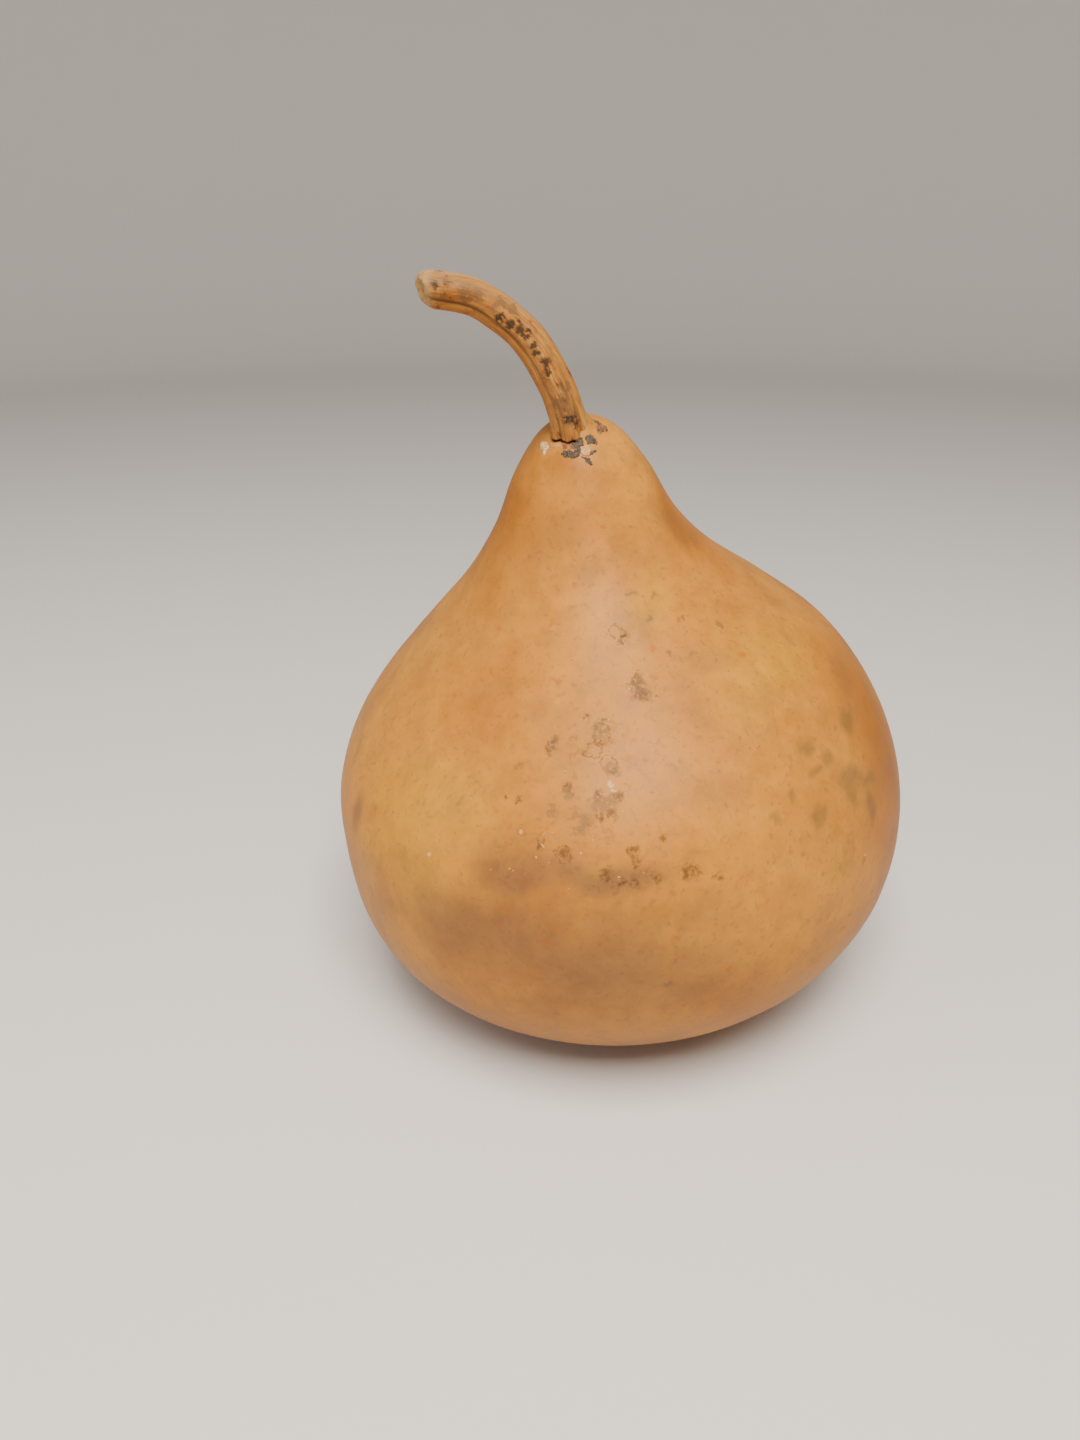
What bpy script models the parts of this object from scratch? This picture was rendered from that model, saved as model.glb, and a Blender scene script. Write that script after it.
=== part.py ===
# Dried bottle gourd, stood on its own flattened base, with its dry stem.
# The fruit is a turned profile whose neck bends left and forward.
# The stem is a five ridged sweep whose root is sunk in a socket in the crown.
# Metres, +Z up. The origin is the middle of the flat spot that the gourd rests on.

from math import cos, pi, radians, sin, sqrt

import bmesh
import bpy
from mathutils import Matrix, Vector

# Fruit: the sizes that drive it
BELLY_RADIUS = 0.085
BELLY_HEIGHT = 0.063
CROWN_HEIGHT = 0.1777
BASE_FULLNESS = 2.3  # exponent of the lower half: 2 is an ellipse, more is fuller
BASE_SINK = 0.0016  # how much of the round base is flattened away
BLUNT_CROWN = 1.77  # exponent of the domed crown

# Height and radius of the skin above the belly, up to the springing of the crown
UPPER_PROFILE = [
    (BELLY_HEIGHT, BELLY_RADIUS),
    (0.0777, 0.0834),
    (0.0925, 0.0777),
    (0.1073, 0.0671),
    (0.1210, 0.0522),
    (0.1347, 0.0366),
    (0.1484, 0.0256),
    (0.1620, 0.0186),
]

# The fruit's own axis: it stands off the resting spot and bends as it rises
BELLY_OFFSET = 0.0030
BEND_START = 0.045
BEND_LEFT = 0.0120
BEND_FORWARD = 0.0145

# Slow swells round the skin: number of lobes, share of the radius, turn, turn gained per metre
SWELLS = [
    (2, 0.0119, radians(67.5), -16.0),
    (3, 0.0093, radians(-8.0), -9.8),
    (5, 0.0040, radians(10.0), 12.0),
]

# Blossom scar, where the flower dried off: a shallow round dish in the resting spot
SCAR_CENTRE = (0.009, 0.008)
SCAR_RADIUS = 0.0042
SCAR_DEPTH = 0.0009

# Stem: the line that it follows, from the end of the root to the broken tip
STEM_ROUTE = [
    (-0.0105, -0.0162, 0.1677),
    (-0.0114, -0.0188, 0.1762),
    (-0.0148, -0.0216, 0.1865),
    (-0.0221, -0.0244, 0.1982),
    (-0.0334, -0.0289, 0.2069),
    (-0.0456, -0.0361, 0.2096),
]
SKIN_DISTANCE = 0.0085  # from the root's end to the crown's skin, along the stem

# Distance along the stem from the crown's skin, and the stem's radius there
STEM_PROFILE = [
    (-0.0085, 0.0030),
    (-0.0055, 0.0045),
    (-0.0034, 0.0051),
    (-0.0015, 0.0049),
    (0.0005, 0.0047),
    (0.0025, 0.0045),
    (0.0060, 0.0044),
    (0.0200, 0.0043),
    (0.0380, 0.0042),
    (0.0600, 0.0040),
]
STEM_RIDGES = 5
RIDGE_HEIGHT = 0.052  # share of the radius, along the stem
ROOT_RIDGE_HEIGHT = 0.090  # and where it flares into the crown
RIDGE_FADE = 0.006  # distance over which the flare's ridges settle
GROOVE_NARROWING = 0.4  # more than 0 gives broad ridges with narrow grooves between them
STEM_TWIST = 9.0  # radians per metre
RIDGE_TURN = radians(24)
TIP_ROUNDING = 0.0032
TIP_SLANT = 0.0022  # how much shorter the stem is on its lower side
TIP_DISH = 0.0009

FIT_GAP = 0.0003
FRUIT_TURNS = 64
LOWER_RINGS = 15
UPPER_RINGS = 20
CROWN_RINGS = 8
STEM_SIDES = 30
STEM_RINGS = 34
TIP_RINGS = 6
SCAR_SIDES = 20
MERGE_DISTANCE = 1e-6


def clear_scene():
    for obj in list(bpy.data.objects):
        bpy.data.objects.remove(obj, do_unlink=True)


def make_material(name, colour, roughness):
    material = bpy.data.materials.new(name)
    material.use_nodes = True
    shader = material.node_tree.nodes["Principled BSDF"]
    shader.inputs["Base Color"].default_value = (*colour, 1.0)
    shader.inputs["Roughness"].default_value = roughness
    shader.inputs["Metallic"].default_value = 0.0
    return material


def make_object(name, bm, material):
    mesh = bpy.data.meshes.new(name)
    bm.to_mesh(mesh)
    bm.free()
    mesh.materials.append(material)
    mesh.shade_smooth()
    obj = bpy.data.objects.new(name, mesh)
    bpy.context.scene.collection.objects.link(obj)
    return obj


def smooth_step(t):
    t = min(max(t, 0.0), 1.0)
    return t * t * (3.0 - 2.0 * t)


def slopes(stations):
    """Slope at each (x, y) station: the parabola through it and its two neighbours."""
    found = []
    last = len(stations) - 1
    for i in range(len(stations)):
        a, b, c = (stations[min(max(j, 0), last)] for j in (i - 1, i, i + 1))
        before = (b[1] - a[1]) / (b[0] - a[0]) if i > 0 else None
        after = (c[1] - b[1]) / (c[0] - b[0]) if i < last else None
        if before is None:
            found.append(after)
        elif after is None:
            found.append(before)
        else:
            share = (b[0] - a[0]) / (c[0] - a[0])
            found.append(before * (1.0 - share) + after * share)
    return found


def curve_value(stations, x, first_slope=None):
    """Height at x of the smooth curve through (x, y) stations."""
    slope = slopes(stations)
    if first_slope is not None:
        slope[0] = first_slope
    i = 0
    while i < len(stations) - 2 and x > stations[i + 1][0]:
        i += 1
    (x0, y0), (x1, y1) = stations[i], stations[i + 1]
    span = x1 - x0
    t = min(max((x - x0) / span, 0.0), 1.0)
    return (
        y0 * (1.0 + 2.0 * t) * (1.0 - t) ** 2
        + slope[i] * span * t * (1.0 - t) ** 2
        + y1 * t * t * (3.0 - 2.0 * t)
        + slope[i + 1] * span * t * t * (t - 1.0)
    )


def fruit_profile():
    """Half outline of the fruit as (radius, height), from the bottom pole to the top pole."""
    points = []
    depth = BELLY_HEIGHT + BASE_SINK
    for i in range(LOWER_RINGS):
        turn = pi / 2 * i / LOWER_RINGS
        drop = cos(turn)
        radius = BELLY_RADIUS * max(1.0 - drop**BASE_FULLNESS, 0.0) ** (1.0 / BASE_FULLNESS)
        points.append((radius, BELLY_HEIGHT - depth * drop))
    springing, neck_radius = UPPER_PROFILE[-1]
    for i in range(UPPER_RINGS):
        height = BELLY_HEIGHT + (springing - BELLY_HEIGHT) * i / UPPER_RINGS
        points.append((curve_value(UPPER_PROFILE, height, 0.0), height))
    taper = slopes(UPPER_PROFILE)[-1]
    dome = CROWN_HEIGHT - springing
    for i in range(CROWN_RINGS + 1):
        rise = sin(pi / 2 * i / CROWN_RINGS)
        radius = neck_radius + taper * dome * rise * (1.0 - rise)
        radius *= max(1.0 - rise**BLUNT_CROWN, 0.0) ** (1.0 / BLUNT_CROWN)
        points.append((radius, springing + dome * rise))
    return points


def axis_point(height):
    share = min(max((height - BEND_START) / (CROWN_HEIGHT - BEND_START), 0.0), 1.0)
    below = max(BELLY_HEIGHT - height, 0.0) / BELLY_HEIGHT
    stand = 1.0 - below**2
    return Vector((BELLY_OFFSET * stand - BEND_LEFT * smooth_step(share), -BEND_FORWARD * share**2, height))


def ring_axes(height):
    """Two directions across the fruit: level in the belly, square to the bent axis in the neck."""
    step = 0.0005
    lean = (axis_point(height) - axis_point(height - step)) / step
    share = min(max((height - BEND_START) / (CROWN_HEIGHT - BEND_START), 0.0), 1.0)
    weight = min(2.0 * share, 1.0)
    normal = Vector((lean.x * weight, lean.y * weight, 1.0)).normalized()
    across = (Vector((1, 0, 0)) - normal * normal.x).normalized()
    return across, normal.cross(across)


def skin_radius(radius, height, turn):
    """Radius of the skin with its slow swells."""
    swell = 1.0
    for lobes, share, start, gain in SWELLS:
        swell += share * cos(lobes * (turn - start) + gain * height)
    return radius * swell


def make_fruit(material):
    bm = bmesh.new()
    line = [bm.verts.new((radius, 0.0, height)) for radius, height in fruit_profile()]
    edges = [bm.edges.new(pair) for pair in zip(line, line[1:])]
    bmesh.ops.spin(
        bm,
        geom=line + edges,
        cent=(0, 0, 0),
        axis=(0, 0, 1),
        angle=2 * pi,
        steps=FRUIT_TURNS,
        use_merge=True,
    )
    bmesh.ops.remove_doubles(bm, verts=bm.verts, dist=MERGE_DISTANCE)
    for vert in bm.verts:
        height = vert.co.z
        radius = vert.co.to_2d().length
        axis = axis_point(height)
        if radius > MERGE_DISTANCE:
            outward = vert.co.to_2d() / radius
            turn = Vector((1, 0)).angle_signed(outward, 0.0) * -1.0
            across, along = ring_axes(height)
            grown = skin_radius(radius, height, turn)
            axis += grown * (across * outward.x + along * outward.y)
        vert.co = axis
        vert.co.z = max(vert.co.z, 0.0)
    bmesh.ops.recalc_face_normals(bm, faces=bm.faces)
    return make_object("fruit", bm, material)


def route_point(share):
    """Point on the smooth curve through the stem's route, share running from 0 to 1."""
    spans = len(STEM_ROUTE) - 1
    i = min(int(share * spans), spans - 1)
    t = share * spans - i
    points = [Vector(p) for p in STEM_ROUTE]
    p1, p2 = points[i], points[i + 1]
    p0 = points[i - 1] if i > 0 else p1 * 2 - p2
    p3 = points[i + 2] if i + 2 <= spans else p2 * 2 - p1
    return 0.5 * (
        2 * p1
        + (p2 - p0) * t
        + (2 * p0 - 5 * p1 + 4 * p2 - p3) * t**2
        + (3 * p1 - p0 - 3 * p2 + p3) * t**3
    )


def stem_line(count=400):
    """Points along the stem with the distance of each from the root's end."""
    points = [route_point(i / count) for i in range(count + 1)]
    distances = [0.0]
    for a, b in zip(points, points[1:]):
        distances.append(distances[-1] + (b - a).length)
    return points, distances


def point_at(points, distances, wanted):
    i = 0
    while i < len(distances) - 2 and distances[i + 1] < wanted:
        i += 1
    t = (wanted - distances[i]) / (distances[i + 1] - distances[i])
    return points[i].lerp(points[i + 1], t), (points[i + 1] - points[i]).normalized()


def ridge_share(distance, turn):
    """How far the five ridges lift or sink the stem's skin, as a share of its radius."""
    flare = max(0.0, 1.0 - max(distance, 0.0) / RIDGE_FADE)
    height = RIDGE_HEIGHT + (ROOT_RIDGE_HEIGHT - RIDGE_HEIGHT) * flare
    wave = cos(STEM_RIDGES * (turn - RIDGE_TURN - STEM_TWIST * distance))
    return height * (wave - GROOVE_NARROWING * (wave * wave - 0.5))


def stem_rings():
    """Distances of the stem's rings from the root's end, closer together at the root and the tip."""
    _, distances = stem_line()
    body = distances[-1] - TIP_ROUNDING
    rings = []
    for i in range(STEM_RINGS):
        share = i / (STEM_RINGS - 1)
        rings.append(body * (0.45 * share**2 + 0.55 * share))
    rings += [body + TIP_ROUNDING * sin(pi / 2 * i / TIP_RINGS) for i in range(1, TIP_RINGS)]
    return rings


def make_stem(material, name, grow=0.0):
    """The stem as extruded rings. grow thickens it all round, for the socket's cutter."""
    points, distances = stem_line()
    length = distances[-1]
    bm = bmesh.new()
    _, heading = point_at(points, distances, 0.0)
    side = heading.cross(Vector((0, 1, 0))).normalized()
    loop = []
    rings = stem_rings()
    if grow:
        rings = [-grow] + rings[: STEM_RINGS // 2]
    for distance in rings:
        centre, heading = point_at(points, distances, max(distance, 0.0))
        centre = centre + heading * min(distance, 0.0)
        side = (side - heading * side.dot(heading)).normalized()
        other = heading.cross(side)
        along = distance - SKIN_DISTANCE
        radius = curve_value(STEM_PROFILE, along) + grow
        into_tip = max(0.0, (distance - (length - TIP_ROUNDING)) / TIP_ROUNDING)
        radius *= sqrt(max(1.0 - 0.96 * into_tip**2.4, 0.0))
        slant = TIP_SLANT * smooth_step((distance - (length - 3.0 * TIP_ROUNDING)) / (3.0 * TIP_ROUNDING))
        places = []
        for i in range(STEM_SIDES):
            turn = 2 * pi * i / STEM_SIDES
            outward = side * cos(turn) + other * sin(turn)
            reach = radius * (1.0 + ridge_share(along, turn))
            low = max(-outward.z, 0.0) if slant else 0.0
            places.append(centre + outward * reach - heading * slant * low)
        if not loop:
            loop = [bm.verts.new(place) for place in places]
            edges = [bm.edges.new(pair) for pair in zip(loop, loop[1:] + loop[:1])]
            bm.faces.new(reversed(loop))
            continue
        made = bmesh.ops.extrude_edge_only(bm, edges=edges)["geom"]
        loop = [v for v in made if isinstance(v, bmesh.types.BMVert)]
        edges = [e for e in made if isinstance(e, bmesh.types.BMEdge) and all(v in loop for v in e.verts)]
        for vert, place in zip(loop, places):
            vert.co = place
    if grow:
        bm.faces.new(loop)
    else:
        tip, heading = point_at(points, distances, length)
        middle = bm.verts.new(tip - heading * TIP_DISH)
        for a, b in zip(loop, loop[1:] + loop[:1]):
            bm.faces.new((a, b, middle))
    bmesh.ops.recalc_face_normals(bm, faces=bm.faces)
    return make_object(name, bm, material)


def make_scar_cutter(material):
    bm = bmesh.new()
    dish = bmesh.ops.create_uvsphere(bm, u_segments=SCAR_SIDES, v_segments=10, radius=1.0)
    scale = Matrix.Diagonal((SCAR_RADIUS, SCAR_RADIUS, SCAR_DEPTH, 1.0))
    bmesh.ops.transform(bm, matrix=Matrix.Translation((*SCAR_CENTRE, 0.0)) @ scale, verts=dish["verts"])
    return make_object("scar_cutter", bm, material)


def cut(obj, cutter):
    cutter.hide_render = True
    cutter.display_type = "WIRE"
    modifier = obj.modifiers.new("cut by " + cutter.name, "BOOLEAN")
    modifier.operation = "DIFFERENCE"
    modifier.solver = "EXACT"
    modifier.object = cutter


def build():
    clear_scene()
    rind = make_material("rind", (0.62, 0.37, 0.14), 0.42)
    wood = make_material("stem wood", (0.45, 0.27, 0.10), 0.70)
    fruit = make_fruit(rind)
    make_stem(wood, "stem")
    cut(fruit, make_stem(wood, "socket_cutter", FIT_GAP))
    cut(fruit, make_scar_cutter(rind))


build()
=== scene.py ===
# Dried bottle gourd on a pale studio floor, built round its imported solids
from math import acos, cos, pi, radians, sin, sqrt

import bmesh
import bpy
import numpy as np
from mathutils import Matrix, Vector, noise
from mathutils.bvhtree import BVHTree


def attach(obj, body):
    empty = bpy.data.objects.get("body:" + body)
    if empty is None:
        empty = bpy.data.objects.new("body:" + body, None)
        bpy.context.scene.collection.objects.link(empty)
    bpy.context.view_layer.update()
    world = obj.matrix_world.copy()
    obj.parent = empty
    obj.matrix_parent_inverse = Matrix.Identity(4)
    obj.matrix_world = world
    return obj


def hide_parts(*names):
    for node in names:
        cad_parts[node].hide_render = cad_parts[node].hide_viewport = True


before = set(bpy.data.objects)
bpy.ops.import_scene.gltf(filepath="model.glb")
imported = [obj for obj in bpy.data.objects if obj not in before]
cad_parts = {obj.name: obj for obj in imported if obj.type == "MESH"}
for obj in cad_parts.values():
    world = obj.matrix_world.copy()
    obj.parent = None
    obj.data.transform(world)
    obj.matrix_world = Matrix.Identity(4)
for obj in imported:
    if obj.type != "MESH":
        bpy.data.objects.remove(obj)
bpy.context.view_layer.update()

mm = 0.001


# Helpers for every piece


def hexColour(code):
    # sRGB hex to linear colour
    parts = [int(code[i:i + 2], 16) / 255 for i in (1, 3, 5)]
    return tuple(c / 12.92 if c < 0.04045 else ((c + 0.055) / 1.055) ** 2.4 for c in parts) + (1.0,)


def addNode(tree, kind, inputs=None, out=0, **settings):
    # adds one node; each input is a value or the socket that feeds it
    node = tree.nodes.new(kind)
    for name, value in settings.items():
        setattr(node, name, value)
    for key, value in (inputs or {}).items():
        if isinstance(value, bpy.types.NodeSocket):
            tree.links.new(value, node.inputs[key])
        else:
            node.inputs[key].default_value = value
    return node.outputs[out] if len(node.outputs) else node


def startMaterial(name):
    material = bpy.data.materials.new(name)
    material.use_nodes = True
    tree = material.node_tree
    return material, tree, tree.nodes["Principled BSDF"]


def mixColour(tree, share, under, over):
    inputs = {0: share, 6: under, 7: over}
    return addNode(tree, "ShaderNodeMix", inputs, out=2, data_type="RGBA")


def linkObject(name, mesh):
    piece = bpy.data.objects.new(name, mesh)
    bpy.context.scene.collection.objects.link(piece)
    return piece


def placePiece(piece, slot, *nodes):
    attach(piece, "root")
    for node in nodes:
        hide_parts(node)


def smoothStep(t):
    t = min(max(t, 0.0), 1.0)
    return t * t * (3 - 2 * t)


def slopesOf(stations):
    # slope of the curve at each of its (x, y) stations
    gaps = [(b[1] - a[1]) / (b[0] - a[0]) for a, b in zip(stations, stations[1:])]
    found = [gaps[0]]
    for i in range(1, len(stations) - 1):
        share = (stations[i][0] - stations[i - 1][0]) / (stations[i + 1][0] - stations[i - 1][0])
        found.append(gaps[i - 1] * (1 - share) + gaps[i] * share)
    return found + [gaps[-1]]


def curveValue(stations, x, firstSlope=None):
    # height at x of the smooth curve through the stations
    slope = slopesOf(stations)
    if firstSlope is not None:
        slope[0] = firstSlope
    i = 0
    while i < len(stations) - 2 and x > stations[i + 1][0]:
        i += 1
    (x0, y0), (x1, y1) = stations[i], stations[i + 1]
    span = x1 - x0
    t = min(max((x - x0) / span, 0.0), 1.0)
    low = y0 * (1 + 2 * t) * (1 - t) ** 2 + slope[i] * span * t * (1 - t) ** 2
    return low + y1 * t * t * (3 - 2 * t) + slope[i + 1] * span * t * t * (t - 1)


# The shape of the fruit, as the solid has it

fruitShape = {
    "bellyRadius": 85.0 * mm,
    "bellyHeight": 63.0 * mm,
    "crownHeight": 177.7 * mm,
    "baseFullness": 2.3,
    "baseSink": 1.6 * mm,
    "bluntCrown": 1.77,
    "bellyOffset": 3.0 * mm,
    "bendStart": 45.0 * mm,
    "bendLeft": 12.0 * mm,
    "bendForward": 14.5 * mm,
}

# height and radius of the skin above the belly, in mm
skinStations = [
    (77.7, 83.4), (92.5, 77.7), (107.3, 67.1), (121.0, 52.2), (134.7, 36.6), (148.4, 25.6), (162.0, 18.6),
]
upperProfile = [(fruitShape["bellyHeight"], fruitShape["bellyRadius"])]
upperProfile += [(height * mm, radius * mm) for height, radius in skinStations]

# slow swells round the skin: lobes, share of the radius, turn, turn gained per metre
swells = [
    (2, 0.0119, radians(67.5), -16.0),
    (3, 0.0093, radians(-8.0), -9.8),
    (5, 0.0040, radians(10.0), 12.0),
]


def lowerRadius(drop):
    # radius of the round lower half, where drop runs from 0 at the belly to 1 at the pole
    fullness = fruitShape["baseFullness"]
    return fruitShape["bellyRadius"] * max(1 - drop ** fullness, 0.0) ** (1 / fullness)


def profileRadius(height):
    springing, neckRadius = upperProfile[-1]
    belly = fruitShape["bellyHeight"]
    if height < belly:
        return lowerRadius((belly - height) / (belly + fruitShape["baseSink"]))
    if height < springing:
        return curveValue(upperProfile, height, 0.0)
    dome = fruitShape["crownHeight"] - springing
    rise = min((height - springing) / dome, 1.0)
    radius = neckRadius + slopesOf(upperProfile)[-1] * dome * rise * (1 - rise)
    return radius * max(1 - rise ** fruitShape["bluntCrown"], 0.0) ** (1 / fruitShape["bluntCrown"])


def bendShare(height):
    span = fruitShape["crownHeight"] - fruitShape["bendStart"]
    return min(max((height - fruitShape["bendStart"]) / span, 0.0), 1.0)


def axisPoint(height):
    share = bendShare(height)
    below = max(fruitShape["bellyHeight"] - height, 0.0) / fruitShape["bellyHeight"]
    x = fruitShape["bellyOffset"] * (1 - below ** 2) - fruitShape["bendLeft"] * smoothStep(share)
    return Vector((x, -fruitShape["bendForward"] * share ** 2, height))


def ringAxes(height):
    # level rings in the belly, square to the bent axis in the neck
    step = 0.5 * mm
    lean = (axisPoint(height) - axisPoint(height - step)) / step
    weight = min(2 * bendShare(height), 1.0)
    normal = Vector((lean.x * weight, lean.y * weight, 1)).normalized()
    across = (Vector((1, 0, 0)) - normal * normal.x).normalized()
    return across, normal.cross(across)


def skinPoint(turn, height):
    # a point of the rind: turn in degrees from +X, height in mm up the fruit's own axis
    angle, height = radians(turn), height * mm
    radius = profileRadius(height)
    for lobes, share, start, gain in swells:
        radius += profileRadius(height) * share * cos(lobes * (angle - start) + gain * height)
    across, along = ringAxes(height)
    return axisPoint(height) + (across * cos(angle) + along * sin(angle)) * radius


def skinFrame(turn, height):
    # the point with its level tangent, its tangent up the skin and its outward normal
    level = (skinPoint(turn + 0.5, height) - skinPoint(turn - 0.5, height)).normalized()
    upward = (skinPoint(turn, height + 0.3) - skinPoint(turn, height - 0.3)).normalized()
    outward = level.cross(upward).normalized()
    return skinPoint(turn, height), level, outward.cross(level), outward


# One tree sweeps a ringed skin over a line of points, for the fruit and for the stem


def makeSweepTree():
    tree = bpy.data.node_groups.new("sweep a ringed skin", "GeometryNodeTree")
    face = tree.interface
    face.new_socket("Line", in_out="INPUT", socket_type="NodeSocketGeometry")
    for name in ("Rings", "Sides", "Wave A", "Wave B", "Wave C", "Seed"):
        face.new_socket(name, in_out="INPUT", socket_type="NodeSocketInt")
    for name in ("Relief Depth", "Relief Size", "Grain Stretch", "Rest Softness"):
        face.new_socket(name, in_out="INPUT", socket_type="NodeSocketFloat")
    face.new_socket("Material", in_out="INPUT", socket_type="NodeSocketMaterial")
    face.new_socket("Skin", in_out="OUTPUT", socket_type="NodeSocketGeometry")
    given = tree.nodes.new("NodeGroupInput").outputs
    rings, sides = given["Rings"], given["Sides"]
    columns = addNode(tree, "ShaderNodeMath", {0: sides, 1: 1.0}, operation="ADD")
    grid = addNode(tree, "GeometryNodeMeshGrid", {"Vertices X": columns, "Vertices Y": rings})
    index = addNode(tree, "GeometryNodeInputIndex")
    ring = addNode(tree, "ShaderNodeMath", {0: index, 1: rings}, operation="MODULO")
    column = addNode(tree, "ShaderNodeMath", {0: index, 1: rings}, operation="DIVIDE")
    column = addNode(tree, "ShaderNodeMath", {0: column}, operation="FLOOR")
    turn = addNode(tree, "ShaderNodeMath", {0: column, 1: 2 * pi}, operation="MULTIPLY")
    turn = addNode(tree, "ShaderNodeMath", {0: turn, 1: sides}, operation="DIVIDE")

    place = addNode(tree, "GeometryNodeInputPosition")
    sampled = {}
    vector = {"data_type": "FLOAT_VECTOR"}
    for name in ("centre", "across", "along", "ring", "waveA", "waveB", "waveC"):
        value = place
        if name != "centre":
            value = addNode(tree, "GeometryNodeInputNamedAttribute", {"Name": name}, **vector)
        inputs = {"Geometry": given["Line"], "Value": value, "Index": ring}
        sampled[name] = addNode(tree, "GeometryNodeSampleIndex", inputs, **vector)
    parts = addNode(tree, "ShaderNodeSeparateXYZ", {0: sampled["ring"]}).node
    radius, run, relief = parts.outputs

    # three waves round each ring, each with its own share of the radius
    swell, crest = 1.0, None
    for name, lobes in (("waveA", "Wave A"), ("waveB", "Wave B"), ("waveC", "Wave C")):
        wave = addNode(tree, "ShaderNodeSeparateXYZ", {0: sampled[name]}).node
        angle = addNode(tree, "ShaderNodeMath", {0: turn, 1: given[lobes]}, operation="MULTIPLY")
        angle = addNode(tree, "ShaderNodeMath", {0: angle, 1: wave.outputs[1]}, operation="SUBTRACT")
        height = addNode(tree, "ShaderNodeMath", {0: angle}, operation="COSINE")
        crest = crest or height
        inputs = {0: height, 1: wave.outputs[0], 2: swell}
        swell = addNode(tree, "ShaderNodeMath", inputs, operation="MULTIPLY_ADD")

    flatX = addNode(tree, "ShaderNodeMath", {0: turn}, operation="COSINE")
    flatY = addNode(tree, "ShaderNodeMath", {0: turn}, operation="SINE")
    scale = {"operation": "SCALE"}
    sideX = addNode(tree, "ShaderNodeVectorMath", {0: sampled["across"], "Scale": flatX}, **scale)
    sideY = addNode(tree, "ShaderNodeVectorMath", {0: sampled["along"], "Scale": flatY}, **scale)
    outward = addNode(tree, "ShaderNodeVectorMath", {0: sideX, 1: sideY}, operation="ADD")
    grainX = addNode(tree, "ShaderNodeMath", {0: flatX, 1: radius}, operation="MULTIPLY")
    grainY = addNode(tree, "ShaderNodeMath", {0: flatY, 1: radius}, operation="MULTIPLY")
    grain = addNode(tree, "ShaderNodeCombineXYZ", {0: grainX, 1: grainY, 2: run})

    # relief follows the grain, stretched along the run
    squeezed = addNode(tree, "ShaderNodeMath", {0: run, 1: given["Grain Stretch"]}, operation="DIVIDE")
    spot = addNode(tree, "ShaderNodeCombineXYZ", {0: grainX, 1: grainY, 2: squeezed})
    spot = addNode(tree, "ShaderNodeVectorMath", {0: spot, 1: given["Seed"]}, operation="ADD")
    pitch = addNode(tree, "ShaderNodeMath", {0: 1.0, 1: given["Relief Size"]}, operation="DIVIDE")
    inputs = {"Vector": spot, "Scale": pitch, "Detail": 3.0, "Roughness": 0.42}
    bumps = addNode(tree, "ShaderNodeTexNoise", inputs)
    bumps = addNode(tree, "ShaderNodeMath", {0: bumps, 1: 0.5}, operation="SUBTRACT")
    bumps = addNode(tree, "ShaderNodeMath", {0: bumps, 1: given["Relief Depth"]}, operation="MULTIPLY")
    reach = addNode(tree, "ShaderNodeMath", {0: radius, 1: swell}, operation="MULTIPLY")
    reach = addNode(tree, "ShaderNodeMath", {0: bumps, 1: relief, 2: reach}, operation="MULTIPLY_ADD")
    place = addNode(tree, "ShaderNodeVectorMath", {0: outward, "Scale": reach}, operation="SCALE")
    place = addNode(tree, "ShaderNodeVectorMath", {0: place, 1: sampled["centre"]}, operation="ADD")

    # the skin settles softly on what it rests on: z becomes (z + sqrt(z * z + soft * soft)) / 2
    split = addNode(tree, "ShaderNodeSeparateXYZ", {0: place}).node
    level = split.outputs[2]
    softness = given["Rest Softness"]
    soft = addNode(tree, "ShaderNodeMath", {0: softness, 1: softness}, operation="MULTIPLY")
    lift = addNode(tree, "ShaderNodeMath", {0: level, 1: level, 2: soft}, operation="MULTIPLY_ADD")
    lift = addNode(tree, "ShaderNodeMath", {0: lift}, operation="SQRT")
    lift = addNode(tree, "ShaderNodeMath", {0: lift, 1: level}, operation="ADD")
    lift = addNode(tree, "ShaderNodeMath", {0: lift, 1: 0.5}, operation="MULTIPLY")
    place = addNode(tree, "ShaderNodeCombineXYZ", {0: split.outputs[0], 1: split.outputs[1], 2: lift})

    inputs = {"Geometry": grid, "Name": "grain", "Value": grain}
    skin = addNode(tree, "GeometryNodeStoreNamedAttribute", inputs, domain="POINT", **vector)
    inputs = {"Geometry": skin, "Name": "crest", "Value": crest}
    skin = addNode(tree, "GeometryNodeStoreNamedAttribute", inputs, domain="POINT", data_type="FLOAT")
    skin = addNode(tree, "GeometryNodeSetPosition", {"Geometry": skin, "Position": place})
    skin = addNode(tree, "GeometryNodeMergeByDistance", {"Geometry": skin, "Distance": 0.001 * mm})
    skin = addNode(tree, "GeometryNodeSetShadeSmooth", {0: skin, "Shade Smooth": True})
    skin = addNode(tree, "GeometryNodeRealizeInstances", {0: skin})
    skin = addNode(tree, "GeometryNodeSetMaterial", {"Geometry": skin, "Material": given["Material"]})
    addNode(tree, "NodeGroupOutput", {0: skin})
    return tree


def growPiece(name, tree, base, values):
    # runs a tree on an object and keeps the result as a plain mesh
    modifier = base.modifiers.new("grow", "NODES")
    modifier.node_group = tree
    for item in tree.interface.items_tree:
        if item.in_out == "INPUT" and item.name in values:
            modifier[item.identifier] = values[item.name]
    depsgraph = bpy.context.evaluated_depsgraph_get()
    mesh = bpy.data.meshes.new_from_object(base.evaluated_get(depsgraph), depsgraph=depsgraph)
    base.modifiers.remove(modifier)
    bpy.data.objects.remove(base)
    mesh.name = name
    return linkObject(name, mesh)


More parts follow.
